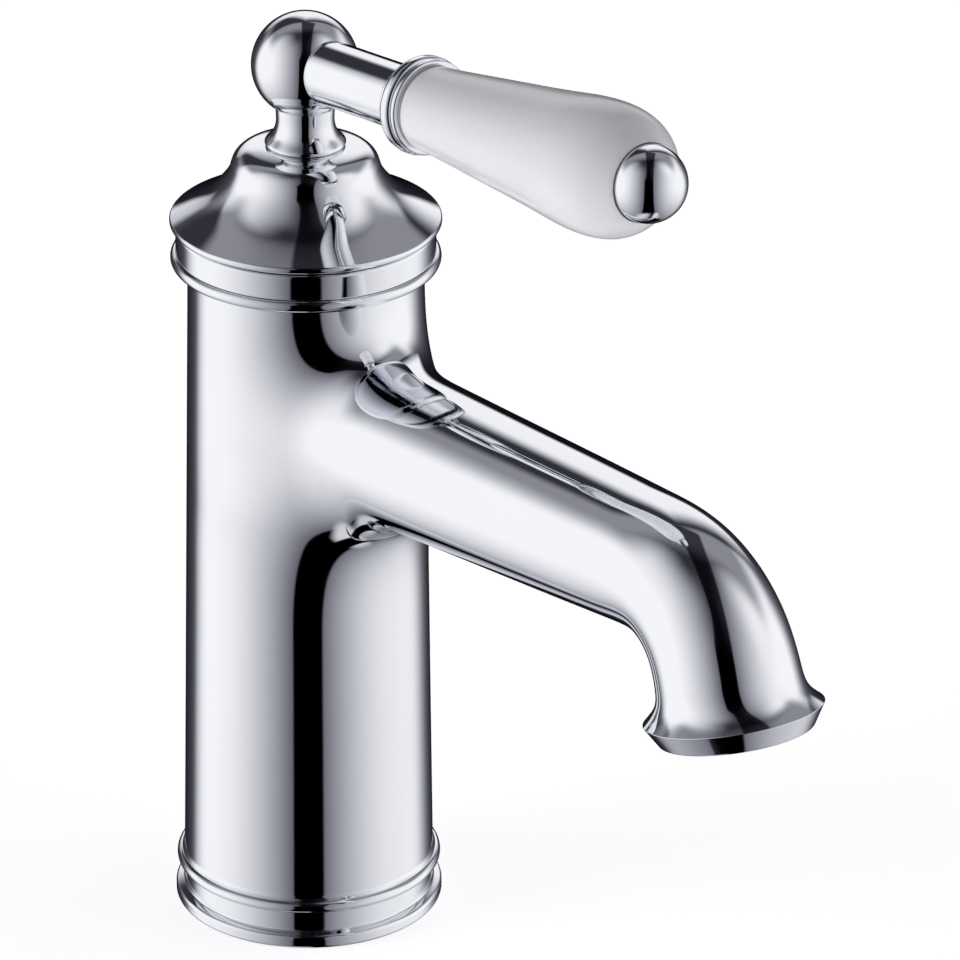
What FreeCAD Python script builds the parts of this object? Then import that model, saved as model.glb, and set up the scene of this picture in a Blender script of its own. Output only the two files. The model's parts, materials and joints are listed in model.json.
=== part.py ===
import FreeCAD, Part
import math
import os

# Single-lever basin mixer, millimetres.  +Z is up along the column, the spout and the lever
# point to -Y, and the origin is the centre of the base where it rests on the basin.

# ---- column and its rings ----
FOOT_R = 26.0                 # largest radius of the foot
RING_BORE_R = 22.2            # base ring slides over the column's bottom spigot
BASE_BAND_R = 24.3
BASE_BEAD_R = 25.7
BASE_RING_TOP = 9.6
COLUMN_BOTTOM_R = 24.3
COLUMN_TOP_R = 22.45
COLUMN_TOP_Z = 133.8          # shoulder that carries the collar
COVE_R = 1.6                  # hollow curve where the column meets the base bead
SPIGOT_R = 20.8               # thin neck of the column inside the collar
SPIGOT_TOP_Z = 138.0
COLLAR_BEAD_R = 25.7
COLLAR_BAND_R = 24.7
BEAD_HALF = 1.3               # half the height of a bead
COLLAR_TOP_Z = 141.4
SKIRT_R = 23.25               # recess in the collar that holds the dome's skirt

# ---- spout: straight tapered run, bend, flared mouth ----
SPOUT_Z = 103.9               # height where the spout's centre line leaves the column's axis
SPOUT_RISE_DEG = 4.3
SPOUT_RUN = 108.7
SPOUT_ROOT_R = 16.2
SPOUT_END_R = 12.6
BEND_R = 19.7
MOUTH_TILT_DEG = 15.3         # the mouth points this far forward of straight down
MOUTH_R = 13.3                # outside radius where the bend ends
FLARE_LEN = 6.9
RIM_R = 16.65
LIP_LEN = 4.0
LIP_R = 14.2
ROOT_FILLET_R = 13.0
SPOUT_WALL = 3.0
FEED_R = 4.5                  # water way from the cartridge chamber to the spout
AERATOR_R = 12.0              # M24 x 1
AERATOR_DEPTH = 11.0
AERATOR_WALL = 1.3
AERATOR_INSET = 0.8           # how far the aerator sits inside the mouth
AERATOR_TOP = 9.4
INSERT_LOW = 1.9
INSERT_TOP = 7.0
SCREEN_H = 0.5
JET_R = 1.05                  # holes through the aerator insert

# ---- inside of the column ----
COLUMN_BORE_R = 19.8
DECK_Z = 78.0                 # underside of the solid deck that carries the cartridge
SEAT_Z = 88.0                 # upper face of that deck
CHAMBER_R = 18.0
THREAD_R = 19.2               # thread for the cartridge nut
THREAD_Z = 115.0
BLOCK_TOP_Z = 16.0
GASKET_H = 2.5
PORT_X = 8.2                  # water ways, left and right of the middle
PORT_Y = -4.6
PORT_THREAD_R = 4.46          # M10 x 1
PORT_THREAD_LEN = 9.0
STUD_Y = 12.0
STUD_THREAD_R = 3.4           # M8
TUBE_R = 4.2
TUBE_BORE_R = 3.0
TUBE_SOCKET = 6.0
SEAL_R = 5.3
SEAL_H = 2.0

# ---- ceramic cartridge, 35 mm size ----
CARTRIDGE_R = 17.5
BASE_PLATE_Z = 88.2
DISC_Z = 94.3
DISC_H = 3.5
DISC_GAP = 0.05
DISC_R = 14.8
DISC_PORT_X = 5.4
OUTLET_Y = 3.5
OUTLET_R = 3.6
SLIDER_R = 9.5
INLET_R = 2.0                 # the two inlet holes in the fixed disc
SEAL_GROOVE_R = 4.3           # seals under the cartridge's inlets
CARRIER_TOP_Z = 106.4
PIVOT_Z = 118.0               # tilt axis of the lever
BALL_END_Z = 105.0            # lower end of the stem, where it pushes the disc
HOUSING_BORE_R = 15.0
TURRET_R = 12.4
TURRET_FLANGE_R = 14.94
TURRET_Z = 106.7
TURRET_TOP_Z = 121.5
HOUSING_SHOULDER_Z = 116.0
HOUSING_TOP_Z = 121.0
NUT_TOP_Z = 122.5
PIN_R = 1.5
PIN_HALF = 11.0
ORING_Z = 107.0
ORING_H = 1.8
ORING_DEPTH = 0.7
RUNNING = 0.06                # radial clearance of a running fit

# ---- handle: dome, bell, ball, lever ----
DOME_R = 33.0                 # sphere about the tilt axis
DOME_WALL = 1.3
DOME_HOLE_R = 17.6
BELL_INNER_R = 33.95
BRIM_Z = 142.7
BRIM_R = 25.8
BRIM_INNER_R = 24.35
BELL_TOP_Z = 158.9
NECK_R = 5.5
NECK_FOOT_R = 7.7
BALL_Z = 174.0
BALL_R = 10.15
LEVER_RISE_DEG = 6.0
ROD_R = 6.1
ROD_START = 6.5
ROD_END = 35.2
FERRULE_R = 9.35
GRIP_START = 40.6
GRIP_START_R = 8.0
GRIP_R = 12.5
GRIP_MAX_AT = 92.0
GRIP_END = 104.0
END_BALL_AT = 104.3
END_BALL_R = 7.2
TIE_R = 2.5
END_SEAT = 98.7               # flat under the end ball, along the lever
END_WASHER_R = 4.5
STEM_R = 4.5
STEM_TOP_Z = 156.3
STEM_ARM_R = 2.4              # lower arm that pushes the disc
STEM_BALL_R = 3.0
GRUB_R = 2.5
GRUB_Z = 153.3
GRUB_OUTER_Y = 12.4
HEX_R = 1.3                   # hexagon socket, centre to corner
HEX_DEPTH = 2.0
HUB_SPIGOT_R = 3.0            # joins the ball's neck to the bell

V = FreeCAD.Vector
UP = V(0, 0, 1)


def turned(outline, axis_start=V(0, 0, 0), axis=UP):
    """Turn a closed outline of (radius, height) points; a pair of points is an arc by way of the first."""
    edges = []
    last = V(outline[0][0], 0, outline[0][1])
    start = last
    for item in outline[1:] + [outline[0]]:
        if isinstance(item[0], tuple):
            via = V(item[0][0], 0, item[0][1])
            end = V(item[1][0], 0, item[1][1])
            edges.append(Part.Arc(last, via, end).toShape())
        else:
            end = V(item[0], 0, item[1])
            if end.distanceToPoint(last) > 1e-6:
                edges.append(Part.LineSegment(last, end).toShape())
        last = end
    face = Part.Face(Part.Wire(edges))
    solid = face.revolve(V(0, 0, 0), UP, 360)
    solid.Placement = FreeCAD.Placement(axis_start, FreeCAD.Rotation(UP, axis))
    return solid


def cylinder(radius, z0, z1, x=0.0, y=0.0):
    return Part.makeCylinder(radius, z1 - z0, V(x, y, z0))


def tube(outer, inner, z0, z1, x=0.0, y=0.0):
    return cylinder(outer, z0, z1, x, y).cut(cylinder(inner, z0, z1, x, y))


def bar(radius, start, end):
    return Part.makeCylinder(radius, (end - start).Length, start, end - start)


def block(width, depth, z0, z1, y=0.0):
    return Part.makeBox(width, depth, z1 - z0, V(-width / 2, y - depth / 2, z0))


def placed(shape, origin, axis):
    moved = shape.copy()
    moved.Placement = FreeCAD.Placement(origin, FreeCAD.Rotation(UP, axis)).multiply(shape.Placement)
    return moved


# ---- the spout's centre line and the lever's direction ----
RISE = math.radians(SPOUT_RISE_DEG)
TILT = math.radians(MOUTH_TILT_DEG)
SPOUT_START = V(0, 0, SPOUT_Z)
SPOUT_DIR = V(0, -math.cos(RISE), math.sin(RISE))
RUN_END = SPOUT_START + SPOUT_DIR * SPOUT_RUN
BEND_CENTRE = RUN_END + V(0, -math.sin(RISE), -math.cos(RISE)) * BEND_R
BEND_TURN = math.pi / 2 + RISE - TILT
MOUTH_DIR = V(0, -math.sin(TILT), -math.cos(TILT))
LEVER_RISE = math.radians(LEVER_RISE_DEG)
LEVER_DIR = V(0, -math.cos(LEVER_RISE), math.sin(LEVER_RISE))


def bend_point(share):
    """Centre and direction on the bend; share runs from 0 at the straight run to 1 at the mouth."""
    angle = BEND_TURN * share - RISE
    centre = BEND_CENTRE + V(0, -math.sin(angle), math.cos(angle)) * BEND_R
    return centre, V(0, -math.cos(angle), -math.sin(angle))


BEND_END = bend_point(1.0)[0]
MOUTH_END = BEND_END + MOUTH_DIR * (FLARE_LEN + LIP_LEN)


def bend_solid(r_start, r_end, steps=8):
    rings = []
    for i in range(steps + 1):
        share = i / steps
        centre, direction = bend_point(share)
        circle = Part.makeCircle(r_start + (r_end - r_start) * share, centre, direction)
        rings.append(Part.Wire(circle))
    return Part.makeLoft(rings, True, False)


# ---- fixed parts ----
def body_casting():
    taper = (COLUMN_BOTTOM_R - COLUMN_TOP_R) / (COLUMN_TOP_Z - BASE_RING_TOP)
    cove_top_r = COLUMN_BOTTOM_R - taper * COVE_R
    column = turned([(0, BASE_RING_TOP), (COLUMN_BOTTOM_R + 0.6, BASE_RING_TOP),
                     ((COLUMN_BOTTOM_R + 0.1, BASE_RING_TOP + 0.5 * COVE_R),
                      (cove_top_r, BASE_RING_TOP + COVE_R)),
                     (COLUMN_TOP_R, COLUMN_TOP_Z), (0, COLUMN_TOP_Z)])
    run = Part.makeCone(SPOUT_ROOT_R, SPOUT_END_R, SPOUT_RUN, SPOUT_START, SPOUT_DIR)
    outer = column.fuse(run)
    seam = [e for e in outer.Edges
            if e.BoundBox.YMin > -COLUMN_BOTTOM_R - 1 and e.BoundBox.YMax < -5
            and e.BoundBox.ZMin > SPOUT_Z - 25 and e.BoundBox.ZMax < SPOUT_Z + 25]
    outer = outer.makeFillet(ROOT_FILLET_R, seam)
    flare = turned([(0, 0), (MOUTH_R, 0),
                    ((MOUTH_R + 0.9, 0.62 * FLARE_LEN), (RIM_R - 0.5, FLARE_LEN - 0.5)),
                    ((RIM_R, FLARE_LEN), (RIM_R - 0.4, FLARE_LEN + 0.5)),
                    (LIP_R, FLARE_LEN + LIP_LEN), (0, FLARE_LEN + LIP_LEN)], BEND_END, MOUTH_DIR)
    outer = outer.fuse([bend_solid(SPOUT_END_R, MOUTH_R), flare])
    outer = outer.fuse([cylinder(SPIGOT_R, COLUMN_TOP_Z, SPIGOT_TOP_Z),
                        cylinder(RING_BORE_R, GASKET_H, BASE_RING_TOP)])
    hollows = [cylinder(COLUMN_BORE_R, 0, DECK_Z), cylinder(CHAMBER_R, SEAT_Z, THREAD_Z),
               cylinder(THREAD_R, THREAD_Z, SPIGOT_TOP_Z + 1)]
    for side in (-1, 1):
        hollows.append(cylinder(TUBE_BORE_R, DECK_Z, SEAT_Z, side * PORT_X, PORT_Y))
        hollows.append(cylinder(TUBE_R, DECK_Z, DECK_Z + TUBE_SOCKET, side * PORT_X, PORT_Y))
        hollows.append(cylinder(SEAL_R, DECK_Z, DECK_Z + SEAL_H, side * PORT_X, PORT_Y))
    bore_start = SPOUT_START + SPOUT_DIR * (COLUMN_BOTTOM_R + 8)
    bore_r = SPOUT_END_R - SPOUT_WALL
    hollows.append(bar(bore_r, bore_start, RUN_END))
    hollows.append(bend_solid(bore_r, bore_r))
    hollows.append(bar(bore_r, BEND_END, MOUTH_END))
    hollows.append(bar(FEED_R, V(0, -CHAMBER_R + 6, SEAT_Z + 7.5), bore_start + SPOUT_DIR * 3))
    hollows.append(bar(AERATOR_R, MOUTH_END - MOUTH_DIR * AERATOR_DEPTH, MOUTH_END + MOUTH_DIR))
    return outer.cut(hollows)


def base_ring():
    return turned([(RING_BORE_R, 0), (FOOT_R - 0.6, 0), ((FOOT_R - 0.1, 0.4), (FOOT_R, 1.0)),
                   ((FOOT_R - 0.25, 1.9), (FOOT_R - 0.9, 2.4)),
                   ((BASE_BAND_R + 0.2, 2.9), (BASE_BAND_R, 3.9)), (BASE_BAND_R, BASE_RING_TOP - 2.4),
                   ((BASE_BEAD_R, BASE_RING_TOP - 1.2), (BASE_BAND_R + 0.3, BASE_RING_TOP)),
                   (RING_BORE_R, BASE_RING_TOP)])


def base_gasket():
    return tube(RING_BORE_R, COLUMN_BORE_R, 0, GASKET_H)


def base_block():
    shape = cylinder(COLUMN_BORE_R, 0, BLOCK_TOP_Z)
    cuts = [cylinder(STUD_THREAD_R, 0, BLOCK_TOP_Z - 3, 0, STUD_Y)]
    for side in (-1, 1):
        cuts.append(cylinder(PORT_THREAD_R, 0, PORT_THREAD_LEN, side * PORT_X, PORT_Y))
        cuts.append(cylinder(TUBE_BORE_R, PORT_THREAD_LEN, BLOCK_TOP_Z, side * PORT_X, PORT_Y))
        cuts.append(cylinder(TUBE_R, BLOCK_TOP_Z - TUBE_SOCKET, BLOCK_TOP_Z, side * PORT_X, PORT_Y))
        cuts.append(cylinder(SEAL_R, BLOCK_TOP_Z - SEAL_H, BLOCK_TOP_Z, side * PORT_X, PORT_Y))
    return shape.cut(cuts)


def inlet_tube(side):
    low = BLOCK_TOP_Z - TUBE_SOCKET
    return tube(TUBE_R, TUBE_BORE_R, low, DECK_Z + TUBE_SOCKET, side * PORT_X, PORT_Y)


def inlet_tube_seals():
    rings = []
    for side in (-1, 1):
        for low in (BLOCK_TOP_Z - SEAL_H, DECK_Z):
            rings.append(tube(SEAL_R, TUBE_R, low, low + SEAL_H, side * PORT_X, PORT_Y))
    return Part.makeCompound(rings)


def collar_ring():
    bead_top = COLUMN_TOP_Z + 2 * BEAD_HALF
    return turned([(SPIGOT_R, COLUMN_TOP_Z), (COLLAR_BAND_R - 0.1, COLUMN_TOP_Z),
                   ((COLLAR_BEAD_R, COLUMN_TOP_Z + BEAD_HALF), (COLLAR_BAND_R, bead_top)),
                   (COLLAR_BAND_R, COLLAR_TOP_Z - 0.8),
                   ((COLLAR_BAND_R - 0.25, COLLAR_TOP_Z - 0.25), (COLLAR_BAND_R - 0.8, COLLAR_TOP_Z)),
                   (SKIRT_R, COLLAR_TOP_Z), (SKIRT_R, SPIGOT_TOP_Z), (SPIGOT_R, SPIGOT_TOP_Z)])


def dome_cover():
    def height(sphere_r, radius):
        return PIVOT_Z + math.sqrt(sphere_r ** 2 - radius ** 2)

    inner_r = DOME_R - DOME_WALL
    skirt = SKIRT_R - 0.05
    skirt_inner = skirt - DOME_WALL
    middle = 0.5 * (skirt + DOME_HOLE_R)
    return turned([(skirt_inner, SPIGOT_TOP_Z), (skirt, SPIGOT_TOP_Z), (skirt, height(DOME_R, skirt)),
                   ((middle, height(DOME_R, middle)), (DOME_HOLE_R, height(DOME_R, DOME_HOLE_R))),
                   (DOME_HOLE_R, height(inner_r, DOME_HOLE_R)),
                   ((middle, height(inner_r, middle)), (skirt_inner, height(inner_r, skirt_inner)))])


def cartridge_nut():
    ring = tube(THREAD_R, HOUSING_BORE_R + 0.3, HOUSING_SHOULDER_Z, NUT_TOP_Z)
    notches = []
    for i in range(6):
        notch = block(3.0, 3.2, NUT_TOP_Z - 2.4, NUT_TOP_Z + 1, THREAD_R)
        notches.append(notch.rotate(V(0, 0, 0), UP, 60 * i))
    return ring.cut(notches)


def cartridge_base():
    plate = cylinder(CARTRIDGE_R - 0.1, BASE_PLATE_Z, DISC_Z)
    way_z = DISC_Z - 2.3
    cuts = [cylinder(OUTLET_R, DISC_Z - 3.5, DISC_Z, 0, OUTLET_Y)]
    cuts.append(bar(2.2, V(0, OUTLET_Y, way_z), V(0, -CARTRIDGE_R, way_z)))
    for side in (-1, 1):
        cuts.append(cylinder(INLET_R, DISC_Z - 3, DISC_Z, side * DISC_PORT_X, PORT_Y))
        cuts.append(bar(INLET_R - 0.2, V(side * DISC_PORT_X, PORT_Y, DISC_Z - 1.9),
                        V(side * PORT_X, PORT_Y, BASE_PLATE_Z)))
        cuts.append(cylinder(SEAL_GROOVE_R, BASE_PLATE_Z, BASE_PLATE_Z + 1.0, side * PORT_X, PORT_Y))
    return plate.cut(cuts)


def port_seals():
    top = BASE_PLATE_Z + 1.0
    return Part.makeCompound([tube(SEAL_GROOVE_R, TUBE_BORE_R, SEAT_Z, top, side * PORT_X, PORT_Y)
                              for side in (-1, 1)])


def fixed_disc():
    disc = cylinder(DISC_R, DISC_Z, DISC_Z + DISC_H)
    cuts = [cylinder(OUTLET_R, DISC_Z, DISC_Z + DISC_H, 0, OUTLET_Y)]
    for side in (-1, 1):
        cuts.append(cylinder(INLET_R, DISC_Z, DISC_Z + DISC_H, side * DISC_PORT_X, PORT_Y))
    return disc.cut(cuts)


def moving_disc():
    low = DISC_Z + DISC_H + DISC_GAP
    pocket = block(13.0, 8.6, low, low + 1.8, 2.1)
    return cylinder(SLIDER_R, low, low + DISC_H).cut(pocket)


def disc_carrier():
    low = DISC_Z + 2 * DISC_H + DISC_GAP
    return cylinder(SLIDER_R, low, CARRIER_TOP_Z).cut(block(6.6, 6.8, low, CARRIER_TOP_Z))


def cartridge_housing():
    ledge = TURRET_Z + 2.4
    shell = cylinder(CARTRIDGE_R, DISC_Z, HOUSING_SHOULDER_Z)
    shell = shell.fuse(cylinder(HOUSING_BORE_R, HOUSING_SHOULDER_Z, HOUSING_TOP_Z))
    cuts = [cylinder(HOUSING_BORE_R, DISC_Z, ledge), cylinder(TURRET_R + RUNNING, ledge, HOUSING_TOP_Z),
            tube(CARTRIDGE_R, CARTRIDGE_R - ORING_DEPTH, ORING_Z, ORING_Z + ORING_H)]
    return shell.cut(cuts)


def cartridge_seal():
    return tube(CHAMBER_R, CARTRIDGE_R - ORING_DEPTH, ORING_Z, ORING_Z + ORING_H)


# ---- aerator, measured inwards from the mouth ----
def aerator_housing():
    bore = AERATOR_R - AERATOR_WALL
    shell = tube(AERATOR_R, bore, AERATOR_INSET, AERATOR_TOP)
    lip = tube(bore, bore - 1.1, AERATOR_INSET, INSERT_LOW - 0.1)
    return placed(shell.fuse(lip), MOUTH_END, MOUTH_DIR * -1)


def aerator_insert():
    disc = cylinder(AERATOR_R - AERATOR_WALL - 0.05, INSERT_LOW, INSERT_TOP)
    holes = []
    for ring, count in ((3.2, 6), (6.2, 12), (9.0, 18)):
        for i in range(count):
            angle = 2 * math.pi * i / count
            x, y = ring * math.cos(angle), ring * math.sin(angle)
            holes.append(cylinder(JET_R, INSERT_LOW, INSERT_TOP, x, y))
    holes.append(cylinder(JET_R, INSERT_LOW, INSERT_TOP))
    return placed(disc.cut(holes), MOUTH_END, MOUTH_DIR * -1)


def aerator_screen():
    low = INSERT_TOP + 0.1
    mesh = cylinder(AERATOR_R - AERATOR_WALL - 0.05, low, low + SCREEN_H)
    return placed(mesh, MOUTH_END, MOUTH_DIR * -1)


def aerator_washer():
    ring = tube(AERATOR_R, AERATOR_R - 2 * AERATOR_WALL, AERATOR_TOP, AERATOR_DEPTH)
    return placed(ring, MOUTH_END, MOUTH_DIR * -1)


# ---- swivelling and tilting parts ----
def turret():
    shape = cylinder(TURRET_FLANGE_R, TURRET_Z, TURRET_Z + 2.3)
    shape = shape.fuse(cylinder(TURRET_R, TURRET_Z + 2.3, TURRET_TOP_Z))
    slot = block(7.6, 19.0, TURRET_Z - 1, TURRET_TOP_Z + 1)
    hole = bar(PIN_R, V(-PIN_HALF, 0, PIVOT_Z), V(PIN_HALF, 0, PIVOT_Z))
    return shape.cut([slot, hole])


def pivot_pin():
    return bar(PIN_R, V(-PIN_HALF, 0, PIVOT_Z), V(PIN_HALF, 0, PIVOT_Z))


def stem():
    blade_low = PIVOT_Z - 6.5
    blade_top = PIVOT_Z + 8.0
    arm = cylinder(STEM_ARM_R, BALL_END_Z, blade_low + 1.5)
    shape = arm.fuse([block(7.0, 8.0, blade_low, blade_top),
                      Part.makeSphere(STEM_BALL_R, V(0, 0, BALL_END_Z)),
                      cylinder(STEM_R, blade_top - 1, STEM_TOP_Z)])
    hole = bar(PIN_R + RUNNING, V(-PIN_HALF, 0, PIVOT_Z), V(PIN_HALF, 0, PIVOT_Z))
    return shape.cut(hole)


def bell_outline():
    """Outside of the bell from the brim's lower edge to its top: brim, hollow flank, round shoulder."""
    return [(BRIM_R - 0.55, BRIM_Z - 0.75), (BRIM_R, BRIM_Z), (BRIM_R - 0.5, BRIM_Z + 0.7),
            (22.3, 145.1), (18.3, 147.8), (15.9, 150.4), (14.4, 152.9), (13.7, 155.0),
            (12.2, 157.0), (9.6, 158.2), (6.6, BELL_TOP_Z)]


def bell_cap():
    points = [V(r, 0, z) for r, z in bell_outline()]
    curve = Part.BSplineCurve()
    curve.interpolate(points)
    inner = V(BRIM_INNER_R, 0, points[0].z)
    top = V(0, 0, BELL_TOP_Z)
    foot = V(0, 0, points[0].z)
    edges = [curve.toShape(), Part.LineSegment(points[-1], top).toShape(),
             Part.LineSegment(top, foot).toShape(), Part.LineSegment(foot, inner).toShape(),
             Part.LineSegment(inner, points[0]).toShape()]
    solid = Part.Face(Part.Wire(edges)).revolve(V(0, 0, 0), UP, 360)
    cuts = [Part.makeSphere(BELL_INNER_R, V(0, 0, PIVOT_Z)),
            cylinder(BRIM_INNER_R, BRIM_Z - 1, BRIM_Z - 0.65),
            cylinder(STEM_R, BRIM_Z, STEM_TOP_Z + 0.1),
            cylinder(HUB_SPIGOT_R, STEM_TOP_Z, BELL_TOP_Z + 1),
            bar(GRUB_R, V(0, 0, GRUB_Z), V(0, BRIM_R, GRUB_Z))]
    return solid.cut(cuts)


def grub_screw():
    screw = bar(GRUB_R, V(0, STEM_R, GRUB_Z), V(0, GRUB_OUTER_Y, GRUB_Z))
    angles = [math.pi * i / 3 for i in range(7)]
    socket = Part.makePolygon([V(HEX_R * math.cos(a), 0, HEX_R * math.sin(a)) for a in angles])
    hexagon = Part.Face(socket).extrude(V(0, HEX_DEPTH + 1, 0))
    hexagon.translate(V(0, GRUB_OUTER_Y - HEX_DEPTH, GRUB_Z))
    return screw.cut(hexagon)


def lever_hub():
    """Vase-shaped neck with the ball on it, and a spigot that screws into the bell."""
    neck_top = BALL_Z - math.sqrt(BALL_R ** 2 - (NECK_R + 0.1) ** 2)
    neck = turned([(0, BELL_TOP_Z), (NECK_FOOT_R - 0.8, BELL_TOP_Z),
                   ((NECK_FOOT_R, BELL_TOP_Z + 0.9), (NECK_FOOT_R - 0.5, BELL_TOP_Z + 2.0)),
                   ((NECK_R + 0.45, BELL_TOP_Z + 3.6), (NECK_R, BELL_TOP_Z + 5.4)),
                   (NECK_R + 0.1, neck_top), (NECK_R - 1.0, BALL_Z - 6), (0, BALL_Z - 6)])
    shape = neck.fuse([Part.makeSphere(BALL_R, V(0, 0, BALL_Z)),
                       cylinder(HUB_SPIGOT_R, STEM_TOP_Z + 0.2, BELL_TOP_Z)])
    return shape.cut(bar(ROD_R, lever_point(ROD_START), lever_point(BALL_R + 5)))


def lever_point(distance):
    return V(0, 0, BALL_Z) + LEVER_DIR * distance


def on_lever(shape):
    return placed(shape, lever_point(0), LEVER_DIR)


def lever_rod():
    rod = turned([(0, ROD_START), (ROD_R, ROD_START), (ROD_R, ROD_END - 1.3), (ROD_R + 0.7, ROD_END - 1.0),
                  (ROD_R + 0.7, ROD_END), (0, ROD_END)])
    return on_lever(rod.cut(cylinder(TIE_R, ROD_END - 12, ROD_END)))


def lever_ferrule():
    low = ROD_END
    ring = turned([(TIE_R, low), (FERRULE_R - 1.6, low), (FERRULE_R - 0.7, low + 0.5),
                   ((FERRULE_R, low + 1.8), (FERRULE_R - 0.7, low + 3.2)),
                   (FERRULE_R - 1.2, low + 3.4), (FERRULE_R - 1.2, low + 3.7), (FERRULE_R - 0.7, low + 3.9),
                   ((FERRULE_R - 0.4, low + 4.4), (FERRULE_R - 0.8, low + 4.9)), (TIE_R, low + 4.9)])
    return on_lever(ring)


def grip_washer():
    return on_lever(tube(GRIP_START_R - 0.6, TIE_R, ROD_END + 4.9, GRIP_START))


def porcelain_grip():
    points = [V(GRIP_START_R, 0, GRIP_START + 0.6), V(8.9, 0, 52), V(10.2, 0, 66), V(11.6, 0, 80),
              V(GRIP_R, 0, GRIP_MAX_AT), V(GRIP_R - 1.2, 0, 98.4), V(GRIP_R - 3.6, 0, 102.2),
              V(7.0, 0, GRIP_END)]
    curve = Part.BSplineCurve()
    curve.interpolate(points)
    corners = [points[-1], V(TIE_R, 0, GRIP_END), V(TIE_R, 0, GRIP_START),
               V(GRIP_START_R - 0.5, 0, GRIP_START), points[0]]
    edges = [curve.toShape()]
    for start, end in zip(corners[:-1], corners[1:]):
        edges.append(Part.LineSegment(start, end).toShape())
    grip = Part.Face(Part.Wire(edges)).revolve(V(0, 0, 0), UP, 360)
    grip = grip.cut([Part.makeSphere(END_BALL_R + 0.05, V(0, 0, END_BALL_AT)),
                     cylinder(END_WASHER_R + 0.1, END_SEAT - 0.8, END_SEAT + 3)])
    return on_lever(grip)


def grip_tie_rod():
    return on_lever(cylinder(TIE_R, ROD_END - 12, END_BALL_AT))


def end_washer():
    return on_lever(tube(END_WASHER_R, TIE_R, END_SEAT - 0.8, END_SEAT))


def end_ball():
    ball = Part.makeSphere(END_BALL_R, V(0, 0, END_BALL_AT))
    foot = cylinder(END_BALL_R, END_SEAT - 5, END_SEAT)
    return on_lever(ball.cut([foot, cylinder(TIE_R, END_SEAT - 1, END_BALL_AT)]))


PARTS = {
    "body_casting": body_casting,
    "base_ring": base_ring,
    "base_gasket": base_gasket,
    "base_block": base_block,
    "cold_inlet_tube": lambda: inlet_tube(1),
    "hot_inlet_tube": lambda: inlet_tube(-1),
    "inlet_tube_seals": inlet_tube_seals,
    "collar_ring": collar_ring,
    "dome_cover": dome_cover,
    "cartridge_nut": cartridge_nut,
    "cartridge_housing": cartridge_housing,
    "cartridge_base": cartridge_base,
    "cartridge_seal": cartridge_seal,
    "port_seals": port_seals,
    "fixed_disc": fixed_disc,
    "moving_disc": moving_disc,
    "disc_carrier": disc_carrier,
    "aerator_housing": aerator_housing,
    "aerator_insert": aerator_insert,
    "aerator_screen": aerator_screen,
    "aerator_washer": aerator_washer,
    "turret": turret,
    "pivot_pin": pivot_pin,
    "stem": stem,
    "bell_cap": bell_cap,
    "grub_screw": grub_screw,
    "lever_hub": lever_hub,
    "lever_rod": lever_rod,
    "lever_ferrule": lever_ferrule,
    "grip_washer": grip_washer,
    "porcelain_grip": porcelain_grip,
    "grip_tie_rod": grip_tie_rod,
    "end_washer": end_washer,
    "end_ball": end_ball,
}

os.makedirs("parts", exist_ok=True)
for name, make in PARTS.items():
    make().exportStep("parts/" + name + ".step")
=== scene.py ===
import bpy
import json
import math
import numpy as np
from mathutils import Euler, Matrix, Vector


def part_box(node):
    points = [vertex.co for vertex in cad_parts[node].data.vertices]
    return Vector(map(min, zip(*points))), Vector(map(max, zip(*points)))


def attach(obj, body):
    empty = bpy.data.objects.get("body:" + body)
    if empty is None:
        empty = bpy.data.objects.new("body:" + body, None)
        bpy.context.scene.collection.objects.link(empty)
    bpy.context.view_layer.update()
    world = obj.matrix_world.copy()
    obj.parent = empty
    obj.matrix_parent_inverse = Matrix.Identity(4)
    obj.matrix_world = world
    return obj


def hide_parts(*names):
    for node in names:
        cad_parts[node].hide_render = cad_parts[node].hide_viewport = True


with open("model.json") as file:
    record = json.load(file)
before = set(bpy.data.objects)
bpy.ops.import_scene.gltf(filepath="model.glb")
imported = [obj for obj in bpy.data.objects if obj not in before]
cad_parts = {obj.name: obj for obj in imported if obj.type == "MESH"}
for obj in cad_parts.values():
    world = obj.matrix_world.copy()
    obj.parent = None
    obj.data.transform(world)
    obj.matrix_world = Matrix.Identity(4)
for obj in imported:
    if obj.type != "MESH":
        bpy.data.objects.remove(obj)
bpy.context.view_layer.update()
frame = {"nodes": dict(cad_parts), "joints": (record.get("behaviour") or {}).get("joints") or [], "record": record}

# Outlines are in millimetres, as (radius, height, rounding), and turn into metres with the mesh.
# An upright piece's heights are those of the frame; a lever piece's run along the lever from the ball.
MM = 0.001
FULL_TURN = 2 * math.pi
SIDES = 192                   # quads round a turned piece
ARC_STEP = math.radians(7.5)  # coarsest step along a rounded corner


# ---- measures read from the frame, in millimetres ----
def low(node, axis=2):
    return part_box(node)[0][axis] / MM


def high(node, axis=2):
    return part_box(node)[1][axis] / MM


FOOT_R = high("base_ring", 0)
RING_TOP = high("base_ring")
RING_BORE = high("base_gasket", 0)
BLOCK_R = high("base_block", 0)
COLLAR_LOW = low("collar_ring")
COLLAR_TOP = high("collar_ring")
COLLAR_R = high("collar_ring", 0)
NECK_TOP = high("body_casting")
SKIRT_R = high("dome_cover", 0)
CHAMBER_R = high("cartridge_seal", 0)
THREAD_R = high("cartridge_nut", 0)
THREAD_LOW = low("cartridge_nut") - 1
SEAT = low("port_seals")
DECK = high("inlet_tube_seals") - 2
BRIM_R = high("bell_cap", 0)
BRIM_LOW = low("bell_cap")
BELL_TOP = high("bell_cap")
CAP_TOP = BELL_TOP - 1.0      # the bell dips a little round the neck
BALL_R = high("lever_hub", 0)
BALL_Z = high("lever_hub") - BALL_R
GRIP_R = high("porcelain_grip", 0)
END_BALL_R = high("end_ball", 0)
PIVOT_Z = frame["joints"][0]["pos_m"][2] / MM

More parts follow.
